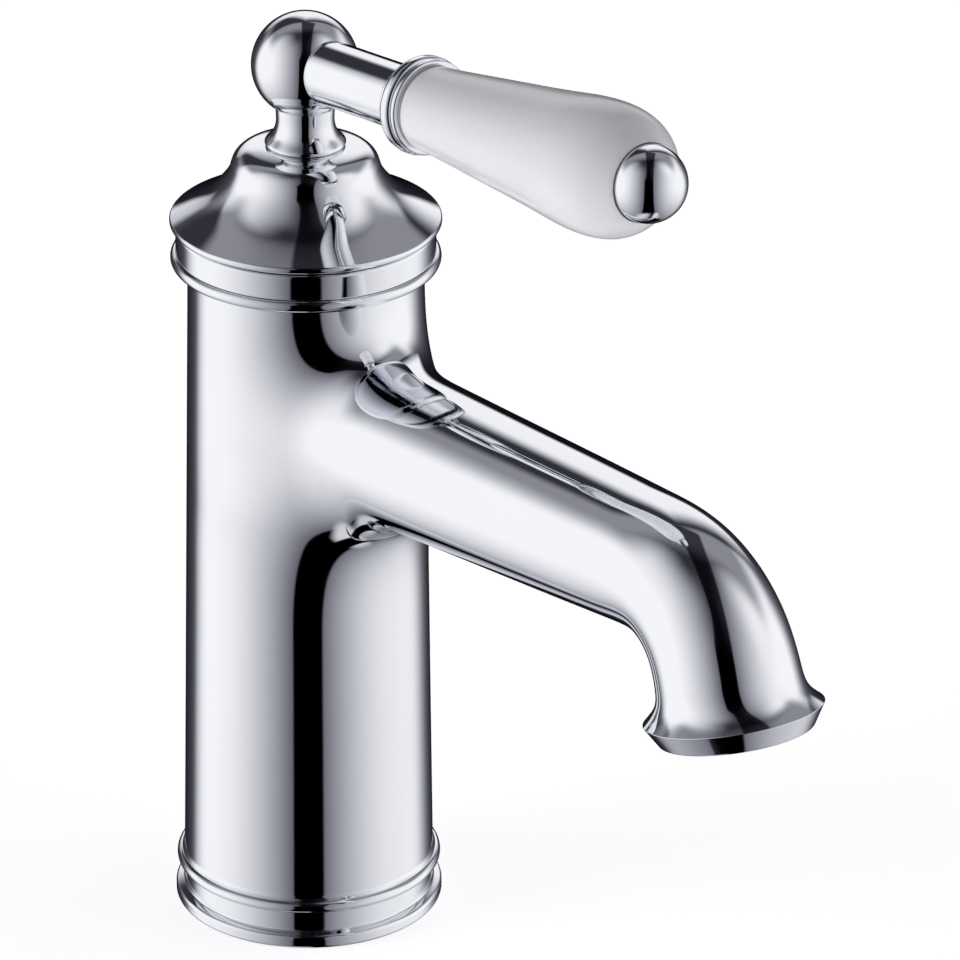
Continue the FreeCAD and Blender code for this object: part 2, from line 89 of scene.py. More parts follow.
# ---- sizes that the boxes don't give ----
COLUMN_LOW_R = 24.3
COLUMN_TOP_R = 22.45
LEVER_RISE = math.radians(6)
SPOUT_Z = 103.9
SPOUT_RISE = math.radians(4.3)
SPOUT_RUN = 108.7
SPOUT_ROOT_R = 16.2
SPOUT_END_R = 12.6
BEND_R = 19.7
BEND_EASE = 12.0              # length over which the bend's curvature comes in
MOUTH_TILT = math.radians(15.3)
MOUTH_R = 13.3
FLARE = 6.9
RIM_R = 16.65
LIP = 4.0
LIP_R = 14.2
MOUTH_BORE = high("aerator_housing", 0)
MOUTH_DEPTH = 11.0
SPOUT_BORE = 9.6
BLEND = 16.0                  # width of the soft transition between column and spout
BLEND_UNDER = 25.0            # the same under the spout
CUT_AT = 44.0                 # the blended part of the spout ends here, along its line
GRID = 0.95                   # edge length of the blended part's mesh, its net
SPOUT_CAP = 18.0              # the spout's round inner end, along its line
NET_LOW = 52.0                # the column is plain below this height
NET_SIDE = 28                 # the net's cells on either side of the middle
NET_DEEP = 78                 # the net's cells from the spout's cut to behind the column
NET_GAP = 0.6                 # left open below the net, then zipped up
CUT_GAP = 1.5                 # the same in front of the spout's cut
BEND_STEPS = 64
RING_FOOT = 2.5               # top of the gasket under the column
COVE_OUT = 0.55               # the cove at the column's foot: how far out, how high, and its rounding
COVE_H = 0.7
COVE_R = 1.4
SPIGOT_R = 20.8
DOME_R = 33.0
DOME_WALL = 1.3
DOME_HOLE_R = 17.6
BELL_INNER_R = 33.95
BELL_MOUTH_R = 23.95
SHOULDER_R = 25.2             # where the bell's brim meets its flank
PLATEAU_R = 6.6
NECK_R = 5.6
NECK_FOOT_R = 7.2
HUB_SPIGOT_R = 3.0
ROD_R = 6.1
ROD_START = 6.5
ROD_END = 35.2
ROD_FLANGE = 0.7
ROD_GROOVE_R = 5.2
FERRULE_R = 9.35
FERRULE_LENGTH = 4.9
TIE_R = 2.5
GRIP_START = ROD_END + FERRULE_LENGTH + 0.5
GRIP_START_R = 8.0
GRIP_RECESS = 97.9            # bottom of the recess behind the end ball
END_BALL_AT = 104.3
END_BALL_FOOT = 5.6           # how far behind its middle the ball is cut flat


# ---- outlines ----
def rounded(corners):
    """An outline of (radius, height, rounding) corners as points and normals; the solid is on the left.
    A corner with no rounding is sharp."""
    pts = [np.array(c[:2], float) for c in corners]
    out = []
    for i, (p, corner) in enumerate(zip(pts, corners)):
        before = pts[i - 1] if i > 0 else None
        after = pts[i + 1] if i < len(pts) - 1 else None
        d0 = (p - before) / np.linalg.norm(p - before) if before is not None else None
        d1 = (after - p) / np.linalg.norm(after - p) if after is not None else None
        if d0 is None or d1 is None:
            d = d1 if d0 is None else d0
            out.append((p, np.array((d[1], -d[0]))))
            continue
        turn = math.atan2(d0[0] * d1[1] - d0[1] * d1[0], float(d0 @ d1))
        radius = corner[2] if len(corner) > 2 else 0
        if radius <= 0 or abs(turn) < 1e-4:
            out.append((p, np.array((d0[1], -d0[0]))))
            out.append((p, np.array((d1[1], -d1[0]))))
            continue
        back = radius * math.tan(abs(turn) / 2)
        start = p - d0 * back
        n0 = np.array((d0[1], -d0[0]))
        side = 1 if turn > 0 else -1
        hub = start - n0 * radius * side
        steps = max(2, math.ceil(abs(turn) / ARC_STEP))
        for k in range(steps + 1):
            c, s = math.cos(turn * k / steps), math.sin(turn * k / steps)
            n = np.array((n0[0] * c - n0[1] * s, n0[0] * s + n0[1] * c))
            out.append((hub + n * radius * side, n))
    return out


def spline(points, count, first=None, last=None):
    """A smooth outline through (radius, height) points, with the direction at either end if it is given."""
    p = np.array(points, float)
    t = np.concatenate([[0], np.cumsum(np.linalg.norm(np.diff(p, axis=0), axis=1))])
    n = len(p)
    matrix = np.zeros((n, n))
    right = np.zeros((n, 2))
    for i in range(1, n - 1):
        h0, h1 = t[i] - t[i - 1], t[i + 1] - t[i]
        matrix[i, i - 1:i + 2] = h1, 2 * (h0 + h1), h0
        right[i] = 3 * (h1 * (p[i] - p[i - 1]) / h0 + h0 * (p[i + 1] - p[i]) / h1)
    for row, other, given in ((0, 1, first), (n - 1, n - 2, last)):
        matrix[row, row] = 2 if given is None else 1
        if given is None:
            matrix[row, other] = 1
            right[row] = 3 * (p[other] - p[row]) / (t[other] - t[row])
        else:
            right[row] = np.array(given, float) / np.linalg.norm(given)
    slope = np.linalg.solve(matrix, right)
    out = []
    for s in np.linspace(0, t[-1], count):
        i = min(np.searchsorted(t, s, "right") - 1, n - 2)
        h = t[i + 1] - t[i]
        u = (s - t[i]) / h
        point = ((1 + 2 * u) * (1 - u) ** 2 * p[i] + u * (1 - u) ** 2 * h * slope[i]
                 + u * u * (3 - 2 * u) * p[i + 1] + u * u * (u - 1) * h * slope[i + 1])
        d = (6 * u * (u - 1) * (p[i] - p[i + 1]) / h + (1 - u) * (1 - 3 * u) * slope[i]
             + u * (3 * u - 2) * slope[i + 1])
        d = d / np.linalg.norm(d)
        out.append((point, np.array((d[1], -d[0]))))
    return out


def sphere(radius, height, start, end, count=48):
    """An arc of a ball centred on the axis, from one angle above its middle to another."""
    out = []
    for a in np.linspace(start, end, count):
        n = np.array((math.cos(a), math.sin(a)))
        out.append((n * radius + (0, height), n))
    return out


# ---- meshes ----
class Shell:
    """A mesh in the making: vertices in mm, faces, and a normal for each face corner."""

    def __init__(self):
        self.verts, self.faces, self.normals = [], [], []

    def add(self, points):
        self.verts += [tuple(p) for p in points]
        return list(range(len(self.verts) - len(points), len(self.verts)))

    def face(self, *corners):
        kept = [c for i, c in enumerate(corners) if c[0] != corners[i - 1][0]]
        self.faces.append([c[0] for c in kept])
        self.normals += [tuple(c[1]) for c in kept]

    def skin(self, rings):
        """Join rings of (points, normals) in turn. Gives the indices of the first and the last ring."""
        sides = len(rings[0][0])
        index = []
        for i, (points, _) in enumerate(rings):
            if i and np.abs(points - rings[i - 1][0]).max() < 1e-6:
                index.append(index[-1])
            elif i > 2 and np.abs(points - rings[0][0]).max() < 1e-6:
                index.append(index[0])
            elif np.abs(points - points[0]).max() < 1e-6:
                index.append(self.add(points[:1]) * sides)
            else:
                index.append(self.add(points))
        for i in range(len(rings) - 1):
            a, b = index[i], index[i + 1]
            na, nb = rings[i][1], rings[i + 1][1]
            for k in range(0 if a is b else sides):
                m = (k + 1) % sides
                self.face((a[k], na[k]), (a[m], na[m]), (b[m], nb[m]), (b[k], nb[k]))
        return index[0], index[-1]

    def zip(self, a, b):
        """Fill between two loops, each a list of (angle, index, normal) in rising order of angle."""
        i = j = 0
        while i < len(a) or j < len(b):
            next_a = a[(i + 1) % len(a)][0] + FULL_TURN * ((i + 1) // len(a)) if i < len(a) else math.inf
            next_b = b[(j + 1) % len(b)][0] + FULL_TURN * ((j + 1) // len(b)) if j < len(b) else math.inf
            here_a, here_b = a[i % len(a)], b[j % len(b)]
            if next_a <= next_b:
                i += 1
                self.face(here_a[1:], a[i % len(a)][1:], here_b[1:])
            else:
                j += 1
                self.face(here_a[1:], b[j % len(b)][1:], here_b[1:])


def revolve(outline, sides=SIDES):
    """The rings of an outline turned about the Z axis."""
    angles = np.linspace(0, FULL_TURN, sides, endpoint=False)
    c, s, one = np.cos(angles), np.sin(angles), np.ones(sides)

    def spun(v):
        return np.stack([v[0] * c, v[0] * s, v[1] * one], 1)

    return [(spun(p), spun(n)) for p, n in outline]


def finish_piece(name, shell, place, body, *nodes):
    """Turn a shell into an object that stands for the CAD nodes."""
    mesh = bpy.data.meshes.new(name)
    mesh.from_pydata(shell.verts, [], shell.faces)
    mesh.transform(place @ Matrix.Scale(MM, 4))
    mesh.polygons.foreach_set("use_smooth", [True] * len(mesh.polygons))
    mesh.normals_split_custom_set((np.array(shell.normals) @ np.array(place.to_3x3()).T).tolist())
    mesh.materials.append(MATERIALS[SLOTS[nodes[0]]])
    piece = bpy.data.objects.new(name, mesh)
    bpy.context.scene.collection.objects.link(piece)
    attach(piece, body)
    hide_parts(*nodes)


def turned(name, outline, place, body, *nodes):
    shell = Shell()
    shell.skin(revolve(outline))
    finish_piece(name, shell, place, body, *nodes)


UPRIGHT = Matrix.Identity(4)
ON_LEVER = (Matrix.Translation((0, 0, BALL_Z * MM))
            @ Matrix.Rotation(math.pi / 2 - LEVER_RISE, 4, "X"))


# ---- the body casting: column and spout in one, with a soft transition between them ----
UP = np.array((0, 0, 1.0))
SPOUT_DIR = np.array((0, -math.cos(SPOUT_RISE), math.sin(SPOUT_RISE)))
SPOUT_START = np.array((0, 0, SPOUT_Z))
MOUTH_DIR = np.array((0, -math.sin(MOUTH_TILT), -math.cos(MOUTH_TILT)))
BEND_TURN = math.pi / 2 + SPOUT_RISE - MOUTH_TILT
TAPER = (COLUMN_LOW_R - COLUMN_TOP_R) / (COLLAR_LOW - RING_TOP)


def below(direction):
    """The direction in the spout's plane that lies a quarter turn towards the underside."""
    return np.array((0, -direction[2], direction[1]))


BEND_HUB = SPOUT_START + SPOUT_DIR * SPOUT_RUN + below(SPOUT_DIR) * BEND_R
BEND_END = BEND_HUB - below(MOUTH_DIR) * BEND_R


def column_r(z):
    return COLUMN_LOW_R - TAPER * (z - RING_TOP)


def spout_r(along):
    return SPOUT_ROOT_R + (SPOUT_END_R - SPOUT_ROOT_R) * along / SPOUT_RUN


def casting_field(p):
    """Negative inside column and spout; the smooth minimum of the two makes the rounded root."""
    column = np.hypot(p[..., 0], p[..., 1]) - column_r(p[..., 2])
    q = p - SPOUT_START
    along = q @ SPOUT_DIR
    across = np.sqrt(np.maximum((q * q).sum(-1) - along ** 2, 0))
    spout = np.hypot(across, np.minimum(along - SPOUT_CAP, 0)) - spout_r(along)
    under = np.clip((SPOUT_Z - p[..., 2]) / SPOUT_ROOT_R, 0, 1)
    width = BLEND + (BLEND_UNDER - BLEND) * under * under * (3 - 2 * under)
    h = np.maximum(width - np.abs(column - spout), 0) / width
    return np.minimum(column, spout) - h ** 3 * width / 6


def gradient(p, step=0.01):
    out = np.empty_like(p)
    for a in range(3):
        shift = np.zeros(3)
        shift[a] = step
        out[..., a] = (casting_field(p + shift) - casting_field(p - shift)) / (2 * step)
    return out


def net(axes):
    """A net of quads over the casting's surface in a box of cells, one point for each cell it runs through.
    Gives the points, the quads and each point's cell."""
    grid = np.stack(np.meshgrid(*axes, indexing="ij"), -1)
    value = casting_field(grid)
    cells = [len(a) - 1 for a in axes]
    total, count = np.zeros((*cells, 3)), np.zeros(cells)
    quads = []
    for a in range(3):
        b, c = (a + 1) % 3, (a + 2) % 3
        first = [slice(None)] * 3
        second = [slice(None)] * 3
        first[a], second[a] = slice(0, -1), slice(1, None)
        v0, v1 = value[tuple(first)], value[tuple(second)]
        crossing = (v0 < 0) != (v1 < 0)
        share = np.where(crossing, v0 / np.where(crossing, v0 - v1, 1), 0)
        where = grid[tuple(first)] + share[..., None] * (grid[tuple(second)] - grid[tuple(first)])
        for db in (0, 1):
            for dc in (0, 1):
                pick = [slice(None)] * 3
                pick[b], pick[c] = slice(db, cells[b] + db), slice(dc, cells[c] + dc)
                total += np.where(crossing[tuple(pick)][..., None], where[tuple(pick)], 0)
                count += crossing[tuple(pick)]
        edges = np.argwhere(crossing)
        inner = [(edges[:, k] >= 1) & (edges[:, k] <= cells[k] - (2 if k == a else 1)) for k in range(3)]
        edges = edges[inner[0] & inner[1] & inner[2]]
        unit = np.eye(3, dtype=int)
        corners = [edges - unit[b] - unit[c], edges - unit[c], edges, edges - unit[b]]
        out = (v0[tuple(edges.T)] < 0)[:, None, None]
        quad = np.stack(corners, 1)
        quads.append(np.where(out, quad, quad[:, ::-1]))
    quads = np.concatenate(quads)
    flat = np.ravel_multi_index(tuple(quads.reshape(-1, 3).T), cells)
    used, inverse = np.unique(flat, return_inverse=True)
    cell = np.stack(np.unravel_index(used, cells), 1)
    points = total[tuple(cell.T)] / count[tuple(cell.T)][:, None]
    return points, inverse.reshape(-1, 4), cell


def settle(points, quads, free, rounds=24):
    """Even the net out and lay it on the surface; free says which coordinates of a point may change."""
    edges = np.concatenate([quads[:, [i, (i + 1) % 4]] for i in range(4)])
    edges = np.unique(np.sort(edges, 1), axis=0)
    inside = free.all(1)[:, None]
    degree = np.bincount(edges.ravel(), minlength=len(points))[:, None]
    for _ in range(rounds):
        mean = np.zeros_like(points)
        np.add.at(mean, edges[:, 0], points[edges[:, 1]])
        np.add.at(mean, edges[:, 1], points[edges[:, 0]])
        points = points + np.where(inside, 0.5 * (mean / degree - points), 0)
        for _ in range(2):
            slope = gradient(points) * free
            points = points - casting_field(points)[:, None] * slope / (slope * slope).sum(1)[:, None]
    return points


def spout_line():
    """The spout's middle line from the blended part's end to the mouth: points, directions and lengths.
    The bend's curvature eases in and out."""
    bend_r = BEND_R - BEND_EASE ** 2 / (24 * BEND_R)
    plateau = BEND_TURN * bend_r - BEND_EASE
    knots = np.array([0, BEND_EASE, BEND_EASE + plateau, 2 * BEND_EASE + plateau])
    steps = np.linspace(0, knots[-1], BEND_STEPS + 1)
    curvature = np.interp(steps, knots, [0, 1 / bend_r, 1 / bend_r, 0])
    gap = steps[1]
    angle = np.concatenate([[0], np.cumsum((curvature[1:] + curvature[:-1]) / 2 * gap)])
    angle *= BEND_TURN / angle[-1]
    dirs = np.outer(np.cos(angle), SPOUT_DIR) + np.outer(np.sin(angle), below(SPOUT_DIR))
    moves = np.cumsum((dirs[1:] + dirs[:-1]) / 2 * gap, axis=0)
    centres = np.concatenate([np.zeros((1, 3)), moves])
    side = below(MOUTH_DIR)
    start = -((SPOUT_START + centres[-1] - BEND_END) @ side) / (SPOUT_DIR @ side)
    centres += SPOUT_START + SPOUT_DIR * start
    straight = np.linspace(CUT_AT + CUT_GAP, start, 24, endpoint=False)
    mouth_end = BEND_END + MOUTH_DIR * (FLARE + LIP)
    tail = (mouth_end - centres[-1]) @ MOUTH_DIR
    rest = np.linspace(0, tail, 12)[1:]
    centres = np.concatenate([SPOUT_START + np.outer(straight, SPOUT_DIR), centres,
                              centres[-1] + np.outer(rest, MOUTH_DIR)])
    dirs = np.concatenate([np.tile(SPOUT_DIR, (len(straight), 1)), dirs,
                           np.tile(MOUTH_DIR, (len(rest), 1))])
    along = np.concatenate([[0], np.cumsum(np.linalg.norm(np.diff(centres, axis=0), axis=1))])
    return centres, dirs, along


def tube_rings(outline, line, sides=SIDES):
    """Rings of an outline (radius, place along the line, normal) about a bent centre line."""
    centres, dirs, along = line
    angles = np.linspace(0, FULL_TURN, sides, endpoint=False)
    rings = []
    for p, n in outline:
        centre = np.array([np.interp(p[1], along, centres[:, k]) for k in range(3)])
        d = np.array([np.interp(p[1], along, dirs[:, k]) for k in range(3)])
        d = d / np.linalg.norm(d)
        right = np.array((1.0, 0, 0))
        up = np.cross(d, right)
        radial = np.outer(np.cos(angles), right) + np.outer(np.sin(angles), up)
        rings.append((centre + radial * p[0], radial * n[0] + d * n[1]))
    return rings


def loop_of(points, normals, index, centre, direction):
    """A loop's points in rising order of their angle about a line."""
    right = np.array((1.0, 0, 0))
    up = np.cross(direction, right)
    q = points[index] - centre
    angle = np.arctan2(q @ up, q @ right) % FULL_TURN
    loop = [(a, int(i), tuple(normals[i])) for a, i in zip(angle, index)]
    return sorted(loop, key=lambda item: item[0])


def ring_loop(index, normals):
    return [(FULL_TURN * k / len(index), i, tuple(n)) for k, (i, n) in enumerate(zip(index, normals))]


def blended_part(shell):
    """The root where column and spout run together. Gives the loops at its three open edges."""
    layers = round((COLLAR_LOW - NET_LOW) / GRID)
    step = (COLLAR_LOW - NET_LOW) / layers
    cut_y = SPOUT_DIR[1] * CUT_AT
    x_axis = (np.arange(-NET_SIDE, NET_SIDE + 1) - 0.5) * GRID
    y_axis = cut_y + (np.arange(NET_DEEP) - 0.5) * GRID
    z_axis = NET_LOW + (np.arange(layers + 2) - 0.5) * step
    points, quads, cell = net((x_axis, y_axis, z_axis))
    free = np.ones(points.shape)
    at_cut, at_low, at_top = cell[:, 1] == 0, cell[:, 2] == 0, cell[:, 2] == layers
    for held, axis, value in ((at_cut, 1, cut_y), (at_low, 2, NET_LOW), (at_top, 2, COLLAR_LOW)):
        free[held, axis] = 0
        points[held, axis] = value
    points = settle(points, quads, free)
    normals = gradient(points)
    normals /= np.linalg.norm(normals, axis=1)[:, None]
    shell.add(points)
    for quad in quads:
        shell.face(*[(int(i), normals[i]) for i in quad])
    return [loop_of(points, normals, np.flatnonzero(held), place, direction) for held, place, direction in (
        (at_cut, SPOUT_START, SPOUT_DIR), (at_low, np.zeros(3), UP), (at_top, np.zeros(3), UP))]


def lower_column(shell, edge):
    """The column below the blended part, its cove on the base ring, its lower spigot and its bore."""
    edge_r = column_r(NET_LOW)
    lean = math.atan(TAPER)
    outline = rounded([(0, DECK), (BLOCK_R, DECK), (BLOCK_R, RING_FOOT), (RING_BORE, RING_FOOT),
                       (RING_BORE, RING_TOP), (COLUMN_LOW_R + COVE_OUT, RING_TOP, 0.1),
                       (column_r(RING_TOP + COVE_H), RING_TOP + COVE_H, COVE_R), (edge_r, NET_LOW)])
    outline[-1] = np.array((edge_r, NET_LOW - NET_GAP)), np.array((math.cos(lean), math.sin(lean)))
    rings = revolve(outline)
    _, last = shell.skin(rings)
    shell.zip(ring_loop(last, rings[-1][1]), edge)


def upper_socket(shell, edge):
    """The shoulder under the collar, the upper spigot and the cartridge chamber."""
    rings = revolve(rounded([
        (COLUMN_TOP_R - 0.1, COLLAR_LOW), (SPIGOT_R, COLLAR_LOW), (SPIGOT_R, NECK_TOP),
        (THREAD_R, NECK_TOP), (THREAD_R, THREAD_LOW), (CHAMBER_R, THREAD_LOW), (CHAMBER_R, SEAT), (0, SEAT)]))
    first, _ = shell.skin(rings)
    shell.zip([(angle, i, tuple(UP)) for angle, i, _ in edge], ring_loop(first, rings[0][1]))


def spout_and_mouth(shell, edge):
    """The rest of the spout: straight run, bend, flare, rim, lip, the aerator's bore and the waterway."""
    line = spout_line()
    total = line[2][-1]
    lip_at = total - LIP
    flare_at = lip_at - FLARE
    seat_at = total - MOUTH_DEPTH
    run = SPOUT_RUN - CUT_AT
    outer = spline([
        (spout_r(CUT_AT + CUT_GAP), 0), (spout_r(SPOUT_RUN - 14), run - 14), (SPOUT_END_R + 0.02, run + 6),
        (MOUTH_R - 0.25, flare_at - 6), (MOUTH_R + 0.05, flare_at), (MOUTH_R + 0.9, flare_at + 4.2),
        (RIM_R - 0.12, lip_at - 0.1)], 150, (spout_r(1) - spout_r(0), 1), (1.1, 1))
    lip = rounded([
        (RIM_R - 0.13, lip_at - 0.1), (RIM_R, lip_at, 0.1), (LIP_R, total, 0.5), (MOUTH_BORE, total, 0.3),
        (MOUTH_BORE, seat_at), (SPOUT_BORE, seat_at), (SPOUT_BORE, seat_at - 3)])
    inward, onward = np.array((-1.0, 0)), np.array((0, 1.0))
    waterway = [(np.array((SPOUT_BORE, s)), inward) for s in np.append(np.linspace(seat_at - 4, 4, 60), 0)]
    end = [(np.array((SPOUT_BORE, 0)), onward), (np.array((0, 0)), onward)]
    rings = tube_rings(outer + lip + waterway + end, line)
    first, _ = shell.skin(rings)
    shell.zip(edge, ring_loop(first, rings[0][1]))


def body_casting():
    shell = Shell()
    cut_edge, low_edge, top_edge = blended_part(shell)
    lower_column(shell, low_edge)
    upper_socket(shell, top_edge)
    spout_and_mouth(shell, cut_edge)
    finish_piece("body_casting_skin", shell, UPRIGHT, "faucet_body", "body_casting")


# ---- turned pieces ----
def base_ring():
    bead_low = RING_TOP - 2.4
    bead_r = FOOT_R - 0.3
    band_r = bead_r - 1.4
    turned("base_ring_skin", rounded([
        (RING_BORE, 0), (FOOT_R, 0, 0.7), (FOOT_R, 2.5, 0.8), (band_r, 3.05, 0.5), (band_r, bead_low, 0.25),
        (bead_r, bead_low, 1.18), (bead_r, RING_TOP, 1.18), (RING_BORE, RING_TOP), (RING_BORE, 0)]),
        UPRIGHT, "faucet_body", "base_ring")


def collar_ring():
    bead_top = COLLAR_LOW + 2.6
    band_r = COLLAR_R - 1.0
    recess = SKIRT_R + 0.05
    turned("collar_ring_skin", rounded([
        (SPIGOT_R, COLLAR_LOW), (COLLAR_R, COLLAR_LOW, 1.28), (COLLAR_R, bead_top, 1.28),
        (band_r, bead_top, 0.15), (band_r, COLLAR_TOP, 0.7), (recess, COLLAR_TOP, 0.15), (recess, NECK_TOP),
        (SPIGOT_R, NECK_TOP), (SPIGOT_R, COLLAR_LOW)]), UPRIGHT, "faucet_body", "collar_ring")


def dome_cover():
    inner_r = DOME_R - DOME_WALL
    skirt_bore = SKIRT_R - DOME_WALL
    skirt = rounded([(skirt_bore, NECK_TOP), (SKIRT_R, NECK_TOP), (SKIRT_R, COLLAR_TOP)])
    outer = sphere(DOME_R, PIVOT_Z, math.acos(SKIRT_R / DOME_R), math.acos(DOME_HOLE_R / DOME_R))
    inner = sphere(inner_r, PIVOT_Z, math.acos(DOME_HOLE_R / inner_r), math.acos(skirt_bore / inner_r))
    outline = skirt + outer + [(p, -n) for p, n in inner]
    turned("dome_cover_skin", outline + [outline[0]], UPRIGHT, "faucet_body", "dome_cover")


def bell_cap():
    hole_r = high("stem", 0)
    ceiling = high("stem") + 0.1
    shoulder = SHOULDER_R, BRIM_LOW + 1.53
    cavity = sphere(BELL_INNER_R, PIVOT_Z, math.acos(hole_r / BELL_INNER_R),
                    math.acos(BELL_MOUTH_R / BELL_INNER_R))
    socket = rounded([(0, ceiling), (hole_r, ceiling), (hole_r, cavity[0][0][1])])
    brim = rounded([(BELL_MOUTH_R + 0.05, BRIM_LOW + 0.15), (BELL_MOUTH_R + 0.4, BRIM_LOW, 0.1),
                    (BRIM_R, BRIM_LOW, 0.68), (BRIM_R, BRIM_LOW + 1.2, 0.62), shoulder])
    flank = spline([shoulder, (22.3, 145.1), (18.3, 147.8), (15.9, 150.4), (14.4, 152.9), (13.75, 154.9),
                    (12.2, 156.6), (9.7, 157.45), (PLATEAU_R, CAP_TOP)], 90, (-0.88, 0.48), (-1, 0.05))
    plateau = rounded([(PLATEAU_R, CAP_TOP), (0, CAP_TOP)])
    outline = socket + [(p, -n) for p, n in cavity] + brim + flank + plateau
    turned("bell_cap_skin", outline, UPRIGHT, "handle", "bell_cap")


def lever_hub():
    foot = low("lever_hub")
    neck_top = BALL_Z - math.sqrt(BALL_R ** 2 - NECK_R ** 2)
    spigot = rounded([(0, foot), (HUB_SPIGOT_R, foot), (HUB_SPIGOT_R, CAP_TOP), (NECK_FOOT_R, CAP_TOP)])
    neck = spline([(NECK_FOOT_R, CAP_TOP), (7.7, CAP_TOP + 0.4), (7.3, CAP_TOP + 1.2), (6.2, CAP_TOP + 2.5),
                   (NECK_R, CAP_TOP + 4.2), (NECK_R, neck_top)], 40, (1, 0.35), (0.0, 1))
    ball = sphere(BALL_R, BALL_Z, -math.acos(NECK_R / BALL_R), math.pi / 2, 64)
    turned("lever_ball_and_neck", spigot + neck + ball, UPRIGHT, "handle", "lever_hub")


def lever_rod():
    flange_r = ROD_R + ROD_FLANGE
    turned("lever_rod_skin", rounded([
        (0, ROD_START), (ROD_R, ROD_START), (ROD_R, ROD_END - 2.9, 0.5), (flange_r, ROD_END - 2.4, 0.3),
        (flange_r, ROD_END - 1.4, 0.25), (ROD_GROOVE_R, ROD_END - 1.3, 0.1), (ROD_GROOVE_R, ROD_END),
        (0, ROD_END)]), ON_LEVER, "handle", "lever_rod")


def lever_ferrule():
    ring_r, thin_r, groove_r = FERRULE_R, FERRULE_R - 0.4, FERRULE_R - 1.15
    end = ROD_END + FERRULE_LENGTH
    groove, thin_ring = ROD_END + 3.4, ROD_END + 3.8
    turned("lever_ferrule_skin", rounded([
        (TIE_R, ROD_END), (7.2, ROD_END, 0.4), (ring_r, ROD_END + 0.7, 1.5), (ring_r, groove - 0.1, 1.0),
        (groove_r, groove, 0.1), (groove_r, thin_ring, 0.1), (thin_r, thin_ring, 0.45), (thin_r, end, 0.45),
        (TIE_R, end), (TIE_R, ROD_END)]), ON_LEVER, "handle", "lever_ferrule")


def porcelain_grip():
    shoulder = GRIP_START_R + 0.05, GRIP_START + 0.75
    start = rounded([(TIE_R, GRIP_START), (GRIP_START_R, GRIP_START, 0.65), shoulder])
    flank = spline([shoulder, (8.9, 52), (10.2, 66), (11.6, 80), (GRIP_R - 0.04, 92), (11.3, 98.4),
                    (8.9, 102.2), (7.5, 103.65)], 120, (0.05, 1), (-0.8, 0.6))
    seat = [(p, -n) for p, n in reversed(sphere(END_BALL_R + 0.08, END_BALL_AT, -0.86, -0.1))]
    recess = rounded([tuple(seat[-1][0]), (4.6, GRIP_RECESS), (TIE_R, GRIP_RECESS), (TIE_R, GRIP_START)])
    turned("porcelain_grip_skin", start[:-1] + flank + seat + recess, ON_LEVER, "handle", "porcelain_grip")


def end_ball():
    flat = -math.asin(END_BALL_FOOT / END_BALL_R)
    foot = END_BALL_AT - END_BALL_FOOT
    outline = rounded([(0, foot), (END_BALL_R * math.cos(flat), foot)])
    turned("end_ball_skin", outline + sphere(END_BALL_R, END_BALL_AT, flat, math.pi / 2, 56),
           ON_LEVER, "handle", "end_ball")


# ---- materials ----
class Nodes:
    """A small helper that wires up the nodes of one material or world."""

    def __init__(self, tree):
        self.tree = tree
        tree.nodes.clear()

    def add(self, kind, settings=(), **inputs):
        node = self.tree.nodes.new(kind)
        for key, value in dict(settings).items():
            setattr(node, key, value)
        for key, value in inputs.items():
            name = int(key[1:]) if key[0] == "i" and key[1:].isdigit() else key.replace("_", " ")
            if isinstance(value, bpy.types.NodeSocket):
                self.tree.links.new(value, node.inputs[name])
            else:
                node.inputs[name].default_value = value
        return node

    def math(self, operation, a, b=0.0, c=0.0):
        return self.add("ShaderNodeMath", {"operation": operation}, i0=a, i1=b, i2=c).outputs[0]

    def between(self, value, low, high, to_low=0.0, to_high=1.0, curve="SMOOTHSTEP"):
        """Goes from one level to another as a value goes from low to high, and stays level outside."""
        node = self.add("ShaderNodeMapRange", {"interpolation_type": curve}, Value=value)
        limits = {"From Min": low, "From Max": high, "To Min": to_low, "To Max": to_high}
        for name, number in limits.items():
            node.inputs[name].default_value = number
        return node.outputs[0]

    def noise(self, scale, detail=3.0, stretch=None):
        place = self.add("ShaderNodeTexCoord").outputs["Object"]
        if stretch:
            place = self.add("ShaderNodeMapping", Vector=place, Scale=stretch).outputs[0]
        return self.add("ShaderNodeTexNoise", Vector=place, Scale=scale, Detail=detail).outputs["Fac"]

    def mix(self, share, a, b):
        return self.add("ShaderNodeMix", {"data_type": "FLOAT"}, i0=share, i2=a, i3=b).outputs[0]

    def blend(self, share, a, b):
        node = self.add("ShaderNodeMix", {"data_type": "RGBA"}, i0=share, i6=a, i7=b)
        return node.outputs[2]

    def bump(self, height, strength, distance):
        return self.add("ShaderNodeBump", Height=height, Strength=strength, Distance=distance).outputs[0]


def material(name, make):
    out = bpy.data.materials.new(name)
    out.use_nodes = True
    nodes = Nodes(out.node_tree)
    shader = nodes.add("ShaderNodeBsdfPrincipled")
    nodes.add("ShaderNodeOutputMaterial", Surface=shader.outputs[0])
    for socket, value in make(nodes).items():
        if isinstance(value, bpy.types.NodeSocket):
            nodes.tree.links.new(value, shader.inputs[socket])
        else:
            shader.inputs[socket].default_value = value
    return out


def chrome(n):
    """Bright plating: mirror-like, with faint polishing waves and a little haze that varies."""
    haze = n.noise(160.0)
    waves = n.noise(45.0, 1.0)
    fine = n.noise(2600.0, 2.0)
    tint = n.blend(n.noise(30.0), (0.80, 0.815, 0.86, 1), (0.84, 0.85, 0.88, 1))
    height = n.math("MULTIPLY_ADD", fine, 0.03, waves)
    return {"Base Color": tint, "Metallic": 1.0, "Roughness": n.between(haze, 0.3, 0.7, 0.03, 0.055),
            "Normal": n.bump(height, 0.06, 0.0004)}


